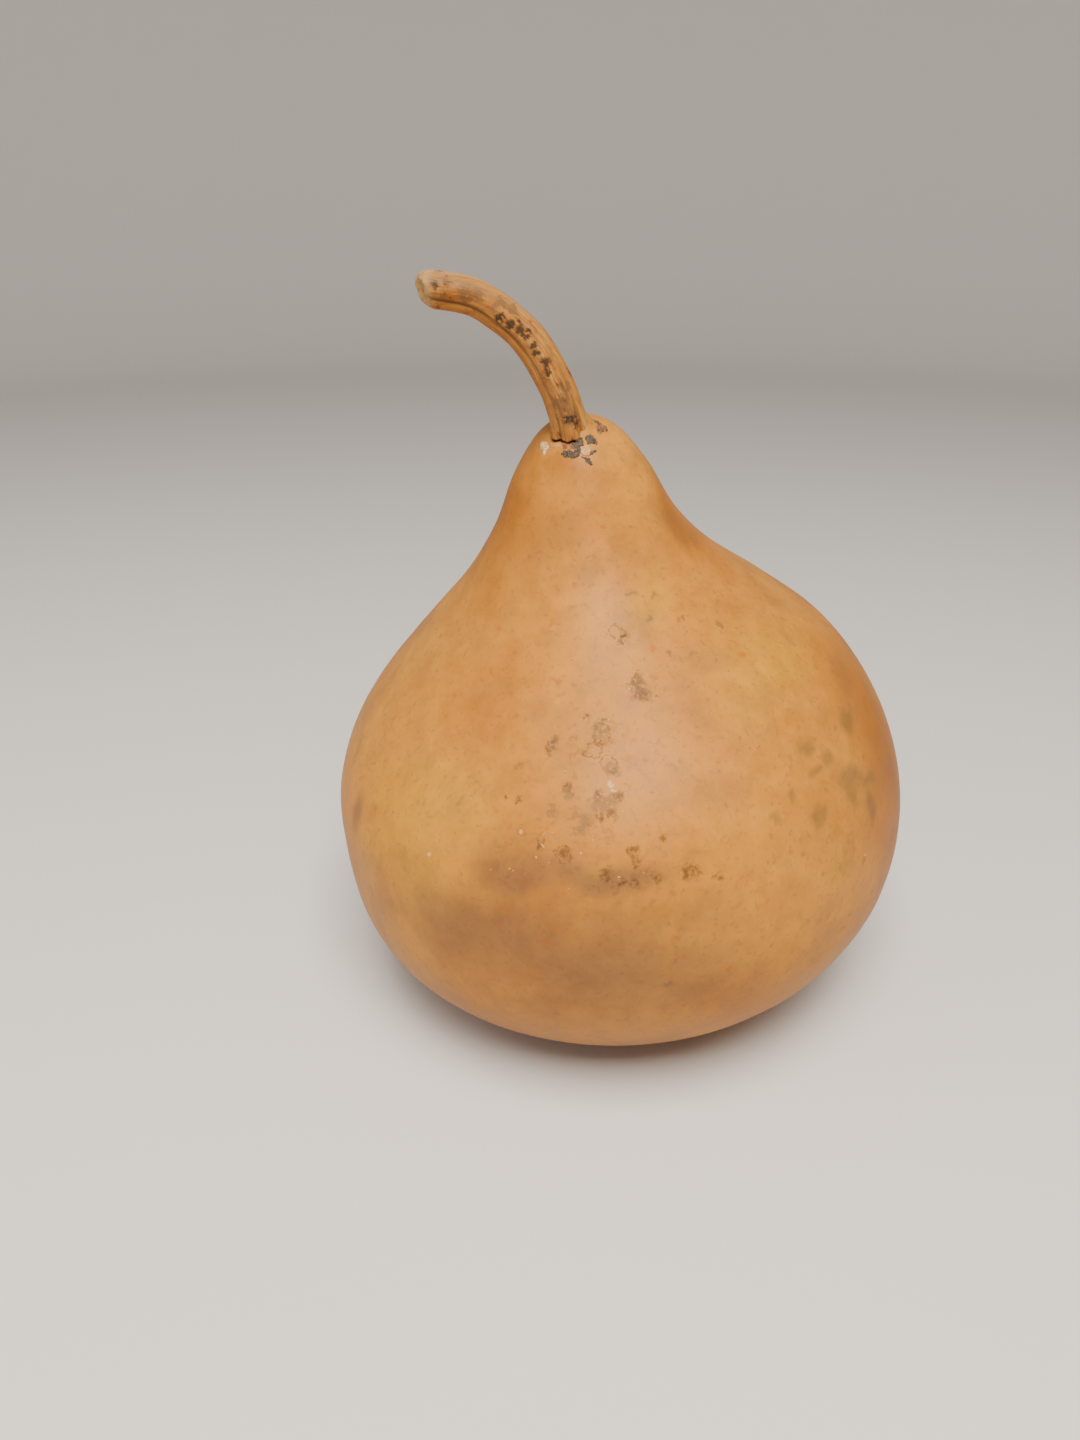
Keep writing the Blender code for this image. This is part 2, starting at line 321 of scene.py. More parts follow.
def makeLine(name, rings):
    # a row of points that carry what the sweep reads at each ring
    mesh = bpy.data.meshes.new(name)
    mesh.from_pydata([ring["centre"] for ring in rings], [], [])
    for key in ("across", "along", "ring", "waveA", "waveB", "waveC"):
        layer = mesh.attributes.new(key, "FLOAT_VECTOR", "POINT")
        layer.data.foreach_set("vector", [part for ring in rings for part in ring[key]])
    return linkObject(name, mesh)


def closeOutward(mesh):
    # turns every face outward
    bm = bmesh.new()
    bm.from_mesh(mesh)
    bmesh.ops.recalc_face_normals(bm, faces=bm.faces)
    bm.to_mesh(mesh)
    bm.free()


def pointsOf(mesh):
    spots = np.empty(len(mesh.vertices) * 3)
    mesh.vertices.foreach_get("co", spots)
    return spots.reshape(-1, 3)


def skinTree(mesh):
    # the mesh in the form that finds the nearest point and casts rays
    corners = [vertex.co for vertex in mesh.vertices]
    return BVHTree.FromPolygons(corners, [face.vertices for face in mesh.polygons])


def storeValue(mesh, name, values):
    layer = mesh.attributes.new(name, "FLOAT", "POINT")
    layer.data.foreach_set("value", np.asarray(values, dtype=np.float32))


sweepTree = makeSweepTree()


# Stem

stem = {
    "skinDistance": 8.5 * mm,
    "ridgeHeight": 0.052,
    "footRidgeHeight": 0.090,
    "ridgeFade": 6.0 * mm,
    "twist": 9.0,
    "ridgeTurn": radians(24),
    "rings": 190,
    "sides": 120,
    "tipRounding": 3.2 * mm,
    "tipRings": 24,
    "tipSlant": 2.2 * mm,
    "tipReach": 7.0 * mm,
    "tipTear": 0.35 * mm,
    "tipDish": 0.8 * mm,
    "rimShare": 0.58,
    "rimTurnShare": 0.45,
    "lipRun": 7.2 * mm,
    "lipStep": 0.30,
    "reliefDepth": 0.8 * mm,
    "reliefSize": 1.8 * mm,
    "grainStretch": 6.0,
}

# the line that it follows from the root's end to the broken tip, in mm
stemRoute = [
    (-10.5, -16.2, 167.7), (-11.4, -18.8, 176.2), (-14.8, -21.6, 186.5), (-22.1, -24.4, 198.2),
    (-33.4, -28.9, 206.9), (-45.6, -36.1, 209.6),
]

# distance from the crown's skin and radius there, in mm
stemRadii = [
    (-8.5, 3.0), (-5.5, 4.5), (-3.4, 5.1), (-1.5, 4.9), (0.5, 4.7), (2.5, 4.5), (6.0, 4.4), (20.0, 4.3),
    (38.0, 4.2), (60.0, 4.0),
]

# where the outer skin has rotted dark or worn off: turn in degrees, run from the root's end and
# radius in mm
stemBlotches = {
    "dark": [
        (97, 42.5, 1.1), (102, 40.0, 1.2), (128, 38.7, 0.7), (110, 37.0, 1.2), (122, 35.2, 1.1),
        (103, 35.0, 0.8), (105, 32.2, 0.8), (98, 30.2, 0.8), (110, 27.2, 1.2), (98, 25.2, 1.0),
        (92, 12.4, 0.9), (111, 12.2, 0.9), (121, 10.6, 1.1), (136, 61.3, 1.2), (88, 62.4, 0.6),
        (225, 40.0, 1.4), (310, 30.0, 1.6), (260, 20.0, 1.3),
    ],
    "worn": [
        (121, 53.5, 1.9), (128, 50.0, 1.6), (108, 59.2, 0.9), (144, 44.0, 1.5), (147, 41.0, 1.2),
        (115, 45.5, 1.0), (95, 17.0, 2.2), (130, 20.0, 1.6), (100, 13.5, 2.4), (240, 50.0, 2.2),
        (330, 44.0, 2.0), (200, 30.0, 1.8),
    ],
}


def routePoint(share):
    # Catmull-Rom through the route
    spans = len(stemRoute) - 1
    i = min(int(share * spans), spans - 1)
    t = share * spans - i
    points = [Vector(point) * mm for point in stemRoute]
    p1, p2 = points[i], points[i + 1]
    p0 = points[i - 1] if i > 0 else p1 * 2 - p2
    p3 = points[i + 2] if i + 2 <= spans else p2 * 2 - p1
    bend = (2 * p0 - 5 * p1 + 4 * p2 - p3) * t ** 2 + (3 * p1 - p0 - 3 * p2 + p3) * t ** 3
    return 0.5 * (2 * p1 + (p2 - p0) * t + bend)


routeSteps = 400
stemPoints = [routePoint(i / routeSteps) for i in range(routeSteps + 1)]
stemRuns = [0.0]
for a, b in zip(stemPoints, stemPoints[1:]):
    stemRuns.append(stemRuns[-1] + (b - a).length)
stemLength = stemRuns[-1]


def stemAt(run):
    i = 0
    while i < len(stemRuns) - 2 and stemRuns[i + 1] < run:
        i += 1
    t = (run - stemRuns[i]) / (stemRuns[i + 1] - stemRuns[i])
    return stemPoints[i].lerp(stemPoints[i + 1], t), (stemPoints[i + 1] - stemPoints[i]).normalized()


def stemPlan():
    # run and share of the radius at each ring: root's end, length, rounded rim, broken face
    body = stemLength - stem["tipRounding"]
    plan = [(0.0, 0.0)]
    plan += [(body * i / (stem["rings"] - 1), 1.0) for i in range(stem["rings"])]
    rimShare, rimTurnShare = stem["rimShare"], stem["rimTurnShare"]
    for i in range(1, stem["tipRings"] + 1):
        t = i / stem["tipRings"]
        if t < rimTurnShare:
            turn = pi / 2 * t / rimTurnShare
            plan.append((body + stem["tipRounding"] * sin(turn), rimShare + (1 - rimShare) * cos(turn)))
        else:
            inward = (t - rimTurnShare) / (1 - rimTurnShare)
            plan.append((stemLength - stem["tipDish"] * smoothStep(inward), rimShare * (1 - inward)))
    return plan


def stemRings():
    radii = [(run * mm, radius * mm) for run, radius in stemRadii]
    _, heading = stemAt(0.0)
    side = heading.cross(Vector((0, 1, 0))).normalized()
    rings = []
    for run, share in stemPlan():
        centre, heading = stemAt(run)
        side = (side - heading * side.dot(heading)).normalized()
        along = run - stem["skinDistance"]
        flare = max(0.0, 1 - max(along, 0.0) / stem["ridgeFade"])
        ridge = stem["ridgeHeight"] + (stem["footRidgeHeight"] - stem["ridgeHeight"]) * flare
        phase = 5 * (stem["ridgeTurn"] + stem["twist"] * along)
        rings.append({
            "centre": centre,
            "across": side,
            "along": heading.cross(side),
            "ring": (curveValue(radii, along) * share, run, min(share * 1.4, 1.0)),
            "waveA": (ridge, phase, 0),
            "waveB": (-0.2 * ridge, 2 * phase, 0),
            "waveC": (0.025, 2.2 + 30 * along, 0),
        })
    return rings


def breakTip(piece):
    # the broken end slopes: its lower side is shorter and its face is torn
    mesh = piece.data
    _, heading = stemAt(stemLength)
    lower = (Vector((0, 0, -1)) - heading * -heading.z).normalized()
    centre = stemAt(stemLength)[0]
    grain = mesh.attributes["grain"].data
    reach = stem["tipReach"]
    for vertex in mesh.vertices:
        run = grain[vertex.index].vector.z
        into = smoothStep((run - (stemLength - reach)) / reach)
        if into > 0:
            side = (vertex.co - centre).dot(lower) / (stemRadii[-1][1] * mm)
            torn = noise.noise(vertex.co / (1.3 * mm)) * stem["tipTear"] * into ** 4
            vertex.co -= heading * (stem["tipSlant"] * into * max(side + 0.45, 0.0) * 0.7 - torn)


def trimFoot(piece):
    # at the front the flared foot ends in a lip, and below it the stem draws in under the torn skin
    grain = piece.data.attributes["grain"].data
    for vertex in piece.data.vertices:
        spot = grain[vertex.index].vector
        if spot.z < stem["lipRun"] + 1.5 * mm:
            centre, _ = stemAt(spot.z)
            ragged = noise.noise(vertex.co / (1.8 * mm)) * 0.5 * mm
            below = smoothStep((stem["lipRun"] + ragged - spot.z) / (0.6 * mm))
            front = smoothStep((spot.y / (spot.xy.length + 0.01 * mm) - 0.3) / 0.35)
            vertex.co += (centre - vertex.co) * stem["lipStep"] * below * front


def markField(tree, place, centres, edge):
    # how strongly any mark shows, from 0 to 1; the edge gives the shares of its radius where it fades
    total = 0.0
    for centre, radius in centres:
        away = addNode(tree, "ShaderNodeVectorMath", {0: place, 1: centre}, out=1, operation="DISTANCE")
        inputs = {"Value": away, "From Min": edge[0] * radius, "From Max": edge[1] * radius}
        inputs.update({"To Min": 1.0, "To Max": total})
        total = addNode(tree, "ShaderNodeMapRange", inputs, interpolation_type="SMOOTHSTEP")
    return total


def wanderPlace(tree, place, size, reach):
    # shifts the place about, so that no mark keeps a drawn edge
    inputs = {"Vector": place, "Scale": 1 / size, "Detail": 4.0, "Roughness": 0.7}
    wander = addNode(tree, "ShaderNodeTexNoise", inputs, out=1)
    middle = (0.5, 0.5, 0.5)
    wander = addNode(tree, "ShaderNodeVectorMath", {0: wander, 1: middle}, operation="SUBTRACT")
    wander = addNode(tree, "ShaderNodeVectorMath", {0: wander, "Scale": reach}, operation="SCALE")
    return addNode(tree, "ShaderNodeVectorMath", {0: place, 1: wander}, operation="ADD")


def makeStemMaterial():
    # a gourd's dead stem: dry fibrous wood, ochre, greyed on top, blotched dark where skin has rotted
    look = {
        "ochre": "#9A601A", "light": "#B27E35", "rust": "#8A4A16", "fibre": "#70441A",
        "groove": "#4C2D11", "blotch": "#28170B", "worn": "#5E4127", "grey": "#8E7A57", "tip": "#9C7F50",
        "fibreWidth": 0.5 * mm, "bandWidth": 2.2 * mm, "patchSize": 3.0 * mm,
        "gapSize": 0.9 * mm, "roughness": 0.62,
    }
    girth = 4.3 * mm  # distance from the stem's middle line at which the blotches are placed
    material, tree, shader = startMaterial("dry gourd stem")
    grain = addNode(tree, "ShaderNodeAttribute", {}, out=1, attribute_name="grain")
    crest = addNode(tree, "ShaderNodeAttribute", {}, out=2, attribute_name="crest")
    run = addNode(tree, "ShaderNodeSeparateXYZ", {0: grain}, out=2)
    streak = addNode(tree, "ShaderNodeMapping", {"Vector": grain, "Scale": (1, 1, 0.08)})
    inputs = {"Vector": streak, "Scale": 1 / look["fibreWidth"], "Detail": 4.0, "Roughness": 0.65}
    fibre = addNode(tree, "ShaderNodeTexNoise", inputs)
    inputs = {"Vector": streak, "Scale": 1 / look["bandWidth"], "Detail": 3.0}
    band = addNode(tree, "ShaderNodeTexNoise", inputs)
    patch = addNode(tree, "ShaderNodeMapping", {"Vector": grain, "Scale": (1, 1, 0.6)})
    inputs = {"Vector": patch, "Scale": 1 / look["patchSize"], "Detail": 6.0, "Roughness": 0.7}
    cloud = addNode(tree, "ShaderNodeTexNoise", inputs)

    tone = addNode(tree, "ShaderNodeMapRange", {"Value": band, "From Min": 0.38, "From Max": 0.62})
    colour = mixColour(tree, tone, hexColour(look["ochre"]), hexColour(look["light"]))
    inputs = {"Value": cloud, "From Min": 0.5, "From Max": 0.62, "To Max": 0.6}
    rust = addNode(tree, "ShaderNodeMapRange", inputs)
    colour = mixColour(tree, rust, colour, hexColour(look["rust"]))
    inputs = {"Value": fibre, "From Min": 0.54, "From Max": 0.38, "To Max": 0.65}
    lines = addNode(tree, "ShaderNodeMapRange", inputs)
    colour = mixColour(tree, lines, colour, hexColour(look["fibre"]))
    ragged = addNode(tree, "ShaderNodeMath", {0: band, 1: 0.9, 2: crest}, operation="MULTIPLY_ADD")
    groove = addNode(tree, "ShaderNodeMapRange", {"Value": ragged, "From Min": -0.3, "From Max": -0.6})

    # painted shade darkens the grooves, more on the downward-facing side, and the upper side is weathered
    # grey
    facing = addNode(tree, "ShaderNodeNewGeometry", out=1)
    facing = addNode(tree, "ShaderNodeSeparateXYZ", {0: facing}, out=2)
    inputs = {"Value": facing, "From Min": 0.35, "From Max": -0.35, "To Min": 0.25, "To Max": 0.95}
    shadeBelow = addNode(tree, "ShaderNodeMapRange", inputs)
    groove = addNode(tree, "ShaderNodeMath", {0: groove, 1: shadeBelow}, operation="MULTIPLY")
    colour = mixColour(tree, groove, colour, hexColour(look["groove"]))
    inputs = {"Value": facing, "From Min": 0.4, "From Max": 0.9, "To Max": 0.6}
    above = addNode(tree, "ShaderNodeMapRange", inputs)
    colour = mixColour(tree, above, colour, hexColour(look["grey"]))

    # worn patches, then the dark blotches over them, both broken up by the fibres
    place = wanderPlace(tree, grain, 1.6 * mm, 3.6 * mm)
    spots = {}
    for kind, marks in stemBlotches.items():
        centres = []
        for turn, along, radius in marks:
            spot = (girth * cos(radians(turn)), girth * sin(radians(turn)), along * mm)
            centres.append((spot, radius * mm))
        spots[kind] = markField(tree, place, centres, (0.7, 1.45))
    inputs = {"Vector": patch, "Scale": 1 / look["gapSize"], "Detail": 3.0}
    gaps = addNode(tree, "ShaderNodeTexNoise", inputs)
    gaps = addNode(tree, "ShaderNodeMapRange", {"Value": gaps, "From Min": 0.34, "From Max": 0.46})
    worn = addNode(tree, "ShaderNodeMath", {0: spots["worn"], 1: gaps}, operation="MULTIPLY")
    worn = addNode(tree, "ShaderNodeMath", {0: worn, 1: 0.7}, operation="MULTIPLY")
    colour = mixColour(tree, worn, colour, hexColour(look["worn"]))
    inputs = {"Value": cloud, "From Min": 0.60, "From Max": 0.66, "To Max": 0.7}
    spot = addNode(tree, "ShaderNodeMapRange", inputs)
    spot = addNode(tree, "ShaderNodeMath", {0: spot, 1: spots["dark"]}, operation="MAXIMUM")
    spot = addNode(tree, "ShaderNodeMath", {0: spot, 1: gaps}, operation="MULTIPLY")
    dark = addNode(tree, "ShaderNodeMath", {0: spot, 1: 0.9}, operation="MULTIPLY")
    colour = mixColour(tree, dark, colour, hexColour(look["blotch"]))

    # the broken end is paler
    ends = {"From Min": stemLength - 2.2 * mm, "From Max": stemLength - 0.4 * mm}
    inputs = {"Value": run, "To Max": 0.6, **ends}
    tip = addNode(tree, "ShaderNodeMapRange", inputs)
    colour = mixColour(tree, tip, colour, hexColour(look["tip"]))

    relief = addNode(tree, "ShaderNodeMath", {0: band, 1: 1.5, 2: fibre}, operation="MULTIPLY_ADD")
    relief = addNode(tree, "ShaderNodeMath", {0: spot, 1: -0.7, 2: relief}, operation="MULTIPLY_ADD")
    bump = addNode(tree, "ShaderNodeBump", {"Height": relief, "Strength": 0.7, "Distance": 0.3 * mm})
    inputs = {"Value": fibre, "To Min": look["roughness"] - 0.1, "To Max": look["roughness"] + 0.12}
    rough = addNode(tree, "ShaderNodeMapRange", inputs)
    tree.links.new(colour, shader.inputs["Base Color"])
    tree.links.new(rough, shader.inputs["Roughness"])
    tree.links.new(bump, shader.inputs["Normal"])
    shader.inputs["IOR"].default_value = 1.5
    shader.inputs["Specular IOR Level"].default_value = 0.35
    return material


rings = stemRings()
values = {
    "Rings": len(rings), "Sides": stem["sides"], "Wave A": 5, "Wave B": 10, "Wave C": 1, "Seed": 9,
    "Relief Depth": stem["reliefDepth"], "Relief Size": stem["reliefSize"],
    "Grain Stretch": stem["grainStretch"], "Rest Softness": 0.0, "Material": makeStemMaterial(),
}
stemPiece = growPiece("stem_wood", sweepTree, makeLine("stem line", rings), values)
breakTip(stemPiece)
trimFoot(stemPiece)
closeOutward(stemPiece.data)
stemSkin = skinTree(stemPiece.data)
print("stem:", len(stemPiece.data.polygons), "faces")


# Rind

rind = {
    "sides": 430,
    "baseRings": 30,
    "baseReach": 25.5 * mm,
    "lowerRings": 50,
    "upperRings": 74,
    "crownRings": 56,
    "reliefDepth": 0.8 * mm,
    "reliefSize": 24 * mm,
    "calmReach": 12 * mm,
    "restSoftness": 0.5 * mm,
    "footReach": 4.0 * mm,
    "footRise": 1.2 * mm,
    "rightRise": 0.8 * mm,
    "lipDepth": 0.35 * mm,
    "footShapeReach": 14.0 * mm,
    "scarCentre": (9.0 * mm, 8.0 * mm),
    "scarRadius": 4.2 * mm,
    "scarDepth": 0.9 * mm,
    "tintSeed": 4,
}

# tints, each as (turn in degrees, height, half width, half height) in mm
broadTints = ("pinkAndHighlight", "ochre", "brown", "amberAndEdgeShade")
rindZones = {
    # pink: a lighter tint; its zones down the front of the neck and upper belly are a painted highlight
    "pinkAndHighlight": [
        (-79, 158, 6, 8), (-81, 141, 10, 8), (-86, 106, 15, 18), (-34, 63, 8, 11), (-152, 80, 8, 13),
        (-69, 107, 15, 15), (90, 120, 18, 14),
    ],
    "ochre": [
        (-126, 92, 20, 17), (-44, 73, 4, 5), (-33, 118, 20, 12), (-63, 139, 8, 6), (-88, 87, 5, 2),
        (40, 110, 26, 16), (130, 96, 22, 20),
    ],
    "brown": [
        (-106, 61, 18, 12), (-116, 62, 16, 11), (-89, 58, 26, 15), (-103, 84, 11, 7),
        (-145, 84, 4, 6), (-88, 86, 14, 4), (34, 50, 26, 12), (140, 48, 34, 14),
    ],
    "olive": [
        (-26, 100, 4.5, 2.6), (-39, 98, 2.8, 2.6), (-42, 102, 3.4, 2.0), (-43, 97, 3.4, 1.6),
        (-50, 94, 2.2, 1.7), (-47, 88, 3.5, 2.5), (-35, 90, 6.0, 2.6), (-36, 87, 3.7, 2.3),
        (-30, 87, 5.4, 1.9), (-31, 81, 3.3, 5.1), (-56, 92, 2.5, 1.8), (8, 92, 4.2, 3.0),
        (84, 74, 3.6, 4.4), (174, 96, 3.8, 2.6),
    ],
    "bloom": [(-144, 175.2, 2.4, 1.8), (-118, 174.0, 2.0, 0.8)],
    "scurf": [
        (-88, 112, 10, 12), (-92, 98, 14, 8), (-84, 86, 20, 5), (-74, 125, 5, 6), (-78, 134, 5, 4),
        (-104, 90, 8, 8), (-90, 173, 5, 2.5), (62, 96, 8, 6), (120, 80, 8, 6),
    ],
    # amber: a darker tint; its zones along the left and right edges of the neck and belly are painted
    # shade
    "amberAndEdgeShade": [(-163, 157, 18, 22), (-5, 152, 7, 13), (-15, 88, 18, 28), (-98, 169, 7, 5)],
}

# small marks, each as (turn in degrees, height in mm, radius in mm)
rindMarks = {
    "ring": [
        (-76, 134, 2.5), (-86, 116.5, 2.4), (-88, 113.5, 2.4), (-85, 111, 2.1), (-103, 97, 1.6),
        (-99.5, 95.5, 1.4), (-95, 92, 2.1), (64, 96, 2.4), (118, 81, 2.4),
    ],
    "dark": [
        (-74, 133, 1.3), (-74, 126, 0.9), (-74, 124.5, 1.9), (-73.5, 122.5, 1.9), (-69.5, 123, 0.5),
        (-70, 121.5, 0.5), (-89, 119.5, 0.9), (-85, 119, 0.9), (-97, 115.5, 1.4), (-99, 114, 1.1),
        (-105.5, 110.5, 0.9), (-84, 104.5, 1.3), (-88, 105, 1.1), (-88, 101, 1.2), (-86, 101, 1.2),
        (-94, 107, 1.3), (-107, 104, 0.8), (-104, 104, 0.8), (-99.5, 94, 0.9), (-95, 92.5, 1.3),
        (-83, 92.5, 1.5), (-83, 90, 1.4), (-88, 87, 1.3), (-85.5, 85.5, 1.0), (-83.5, 84.5, 1.3),
        (-79.5, 85.5, 1.3), (-77, 94.5, 1.1), (-74.5, 85.5, 1.4), (-73, 85.5, 1.2), (-69.5, 83, 1.3),
        (58, 99, 1.4), (66, 93, 1.3), (121, 79, 1.2),
    ],
    "grey": [
        (-86, 103.5, 2.7), (-88, 104, 2.7), (-97, 102, 2.2), (-91, 100, 2.3), (-91.5, 97.5, 1.9),
        (-74, 123.5, 2.8), (-86.5, 117.5, 2.0), (-84.5, 110, 1.9), (-94, 106, 1.7), (-97, 115, 1.9),
        (62, 97, 2.8),
    ],
    # pale: small pale flecks of the skin; the two at the front of the upper belly are a painted glint
    "paleAndGlint": [
        (-85, 107.5, 0.9), (-85, 106, 0.8), (-103, 97, 0.9), (-121, 85, 0.7), (-36, 71, 0.7),
        (-99, 94.5, 0.5),
    ],
    "speck": [
        (-22, 88, 1.0), (-52.5, 106.5, 0.8), (-117, 92.5, 0.6), (-31.5, 57.5, 1.3), (-29.5, 54, 0.9),
        (-73, 113.5, 0.7), (-79, 54, 1.1), (-62, 135, 0.9), (-50, 132.5, 0.9), (-61, 127.5, 1.0),
        (-54, 126, 1.1), (-66, 140.5, 1.2), (-55.5, 139, 1.1), (-38, 128.5, 1.3), (-98, 85, 0.5),
        (-70, 118.5, 0.5), (-93.5, 113.5, 0.5), (-80, 117.5, 0.6),
    ],
}


def makeRindMaterial():
    # a gourd's cured rind: hard, woody, dried to a waxy satin skin with cloudy colour and broad gloss
    look = {
        "tan": "#AA6B21", "warm": "#B97C2B", "pinkAndHighlight": "#BC7D33", "ochre": "#B27F1C", "brown": "#664A36",
        "dark": "#472E20", "grey": "#6E543A", "olive": "#5F5033", "paleAndGlint": "#D2B184", "ring": "#573822",
        "bloom": "#C09A6C", "tearScarAndShade": "#38220F", "rusty": "#A0560C", "amberAndEdgeShade": "#8F5312",
        "cloudSize": 34 * mm, "patchSize": 13 * mm, "mottleSize": 6 * mm, "fineSize": 1.6 * mm,
        "poreGap": 2.6 * mm, "dotGap": 12 * mm, "breakSize": 1.0 * mm, "peelSize": 1.1 * mm,
        "roughness": 0.48,
    }
    strengths = {"pinkAndHighlight": 0.5, "ochre": 0.6, "brown": 0.64, "amberAndEdgeShade": 0.72, "olive": 0.56, "bloom": 0.35}
    material, tree, shader = startMaterial("cured gourd rind")
    spot = addNode(tree, "ShaderNodeTexCoord", out=3)
    place = wanderPlace(tree, spot, 4.0 * mm, 7.0 * mm)
    inputs = {"Vector": spot, "Scale": 1 / look["cloudSize"], "Detail": 4.0}
    cloud = addNode(tree, "ShaderNodeTexNoise", inputs)
    cloud = addNode(tree, "ShaderNodeMapRange", {"Value": cloud, "From Min": 0.35, "From Max": 0.65})
    colour = mixColour(tree, cloud, hexColour(look["tan"]), hexColour(look["warm"]))
    # the pink zones at the front of the neck and upper belly paint a highlight here, and the amber zones
    # on the left and right edges paint shade
    for tint, strength in strengths.items():
        field = addNode(tree, "ShaderNodeAttribute", {}, out=2, attribute_name=tint)
        field = addNode(tree, "ShaderNodeMath", {0: field, 1: strength}, operation="MULTIPLY")
        colour = mixColour(tree, field, colour, hexColour(look[tint]))

    # painted shade: the lower skin darkens to brown towards the floor
    level = addNode(tree, "ShaderNodeSeparateXYZ", {0: place}, out=2)
    inputs = {"Value": level, "From Min": 62 * mm, "From Max": 6 * mm, "To Max": 0.42}
    low = addNode(tree, "ShaderNodeMapRange", inputs)
    colour = mixColour(tree, low, colour, hexColour(look["brown"]))

    # mottling of a few millimetres and of one, then pores
    inputs = {"Vector": place, "Scale": 1 / look["mottleSize"], "Detail": 7.0, "Roughness": 0.62}
    mottle = addNode(tree, "ShaderNodeTexNoise", inputs)
    inputs = {"Value": mottle, "From Min": 0.3, "From Max": 0.7, "To Min": 0.85, "To Max": 1.12}
    shade = addNode(tree, "ShaderNodeMapRange", inputs)
    colour = addNode(tree, "ShaderNodeVectorMath", {0: colour, "Scale": shade}, operation="SCALE")
    inputs = {"Vector": place, "Scale": 1 / look["patchSize"], "Detail": 5.0}
    patch = addNode(tree, "ShaderNodeTexNoise", inputs)
    inputs = {"Value": patch, "From Min": 0.5, "From Max": 0.66, "To Max": 0.22}
    patch = addNode(tree, "ShaderNodeMapRange", inputs)
    colour = mixColour(tree, patch, colour, hexColour(look["brown"]))
    dots = addNode(tree, "ShaderNodeTexVoronoi", {"Vector": place, "Scale": 1 / look["dotGap"]})
    inputs = {"Value": dots, "From Min": 0.11, "From Max": 0.05, "To Max": 0.6}
    dots = addNode(tree, "ShaderNodeMapRange", inputs)
    colour = mixColour(tree, dots, colour, hexColour(look["rusty"]))
    inputs = {"Vector": spot, "Scale": 1 / look["fineSize"], "Detail": 4.0}
    fine = addNode(tree, "ShaderNodeTexNoise", inputs)
    inputs = {"Value": fine, "From Min": 0.56, "From Max": 0.72, "To Max": 0.35}
    stain = addNode(tree, "ShaderNodeMapRange", inputs)
    colour = mixColour(tree, stain, colour, hexColour(look["brown"]))
    inputs = {"Value": mottle, "From Min": 0.3, "From Max": 0.7}
    inputs.update({"To Min": look["roughness"] - 0.06, "To Max": look["roughness"] + 0.08})
    rough = addNode(tree, "ShaderNodeMapRange", inputs)
    cells = addNode(tree, "ShaderNodeTexVoronoi", {"Vector": place, "Scale": 1 / look["poreGap"]}).node
    size = addNode(tree, "ShaderNodeSeparateColor", {0: cells.outputs[1]}, out=0)
    inputs = {"Value": size, "From Min": 0.5, "From Max": 1.0, "To Max": 0.2}
    size = addNode(tree, "ShaderNodeMapRange", inputs)
    pore = addNode(tree, "ShaderNodeMath", {0: size, 1: cells.outputs[0]}, operation="SUBTRACT")
    pore = addNode(tree, "ShaderNodeMapRange", {"Value": pore, "From Max": 0.08})
    poreTint = addNode(tree, "ShaderNodeMath", {0: pore, 1: 0.5}, operation="MULTIPLY")
    colour = mixColour(tree, poreTint, colour, hexColour(look["brown"]))

    # scurf: patches where the thin outer skin has gone, broken up by a finer noise
    inputs = {"Vector": spot, "Scale": 1 / look["breakSize"], "Detail": 3.0, "Roughness": 0.6}
    breaks = addNode(tree, "ShaderNodeTexNoise", inputs)
    breaks = addNode(tree, "ShaderNodeMapRange", {"Value": breaks, "From Min": 0.33, "From Max": 0.52})
    zone = addNode(tree, "ShaderNodeAttribute", {}, out=2, attribute_name="scurf")
    inputs = {"Value": mottle, "From Min": 0.52, "From Max": 0.6, "To Max": 0.8}
    scurf = addNode(tree, "ShaderNodeMapRange", inputs)
    scurf = addNode(tree, "ShaderNodeMath", {0: scurf, 1: zone}, operation="MULTIPLY")
    scurf = addNode(tree, "ShaderNodeMath", {0: scurf, 1: breaks}, operation="MULTIPLY")
    haze = addNode(tree, "ShaderNodeMath", {0: scurf, 1: 0.4}, operation="MULTIPLY")
    colour = mixColour(tree, haze, colour, hexColour(look["dark"]))
    edges = {"grey": (0.4, 1.3), "ring": (0.75, 1.05), "dark": (0.4, 1.5), "speck": (0.4, 1.2)}
    edges["paleAndGlint"] = (0.3, 1.1)
    strengths = {"grey": 0.62, "ring": 0.6, "dark": 0.7, "speck": 0.6, "paleAndGlint": 0.6}
    for kind, marks in rindMarks.items():
        centres = [(skinPoint(turn, height), radius * mm) for turn, height, radius in marks]
        field = markField(tree, place, centres, edges[kind])
        if kind == "ring":
            # only the outline of a blister scar shows
            field = addNode(tree, "ShaderNodeMath", {0: field, 1: 0.5}, operation="SUBTRACT")
            field = addNode(tree, "ShaderNodeMath", {0: field}, operation="ABSOLUTE")
            inputs = {"Value": field, "From Min": 0.5, "From Max": 0.3}
            field = addNode(tree, "ShaderNodeMapRange", inputs)
        if kind in ("grey", "ring", "dark"):
            field = addNode(tree, "ShaderNodeMath", {0: field, 1: breaks}, operation="MULTIPLY")
            scurf = addNode(tree, "ShaderNodeMath", {0: scurf, 1: field}, operation="MAXIMUM")
        field = addNode(tree, "ShaderNodeMath", {0: field, 1: strengths[kind]}, operation="MULTIPLY")
        tint = "brown" if kind == "speck" else kind
        colour = mixColour(tree, field, colour, hexColour(look[tint]))
    # the dark tear value: torn skin, the blossom scar, and painted shade round the stem's foot and under
    # its lip
    tearScarAndShade = addNode(tree, "ShaderNodeAttribute", {}, out=2, attribute_name="tearScarAndShade")
    colour = mixColour(tree, tearScarAndShade, colour, hexColour(look["tearScarAndShade"]))
    rough = addNode(tree, "ShaderNodeMath", {0: scurf, 1: 0.25, 2: rough}, operation="MULTIPLY_ADD")

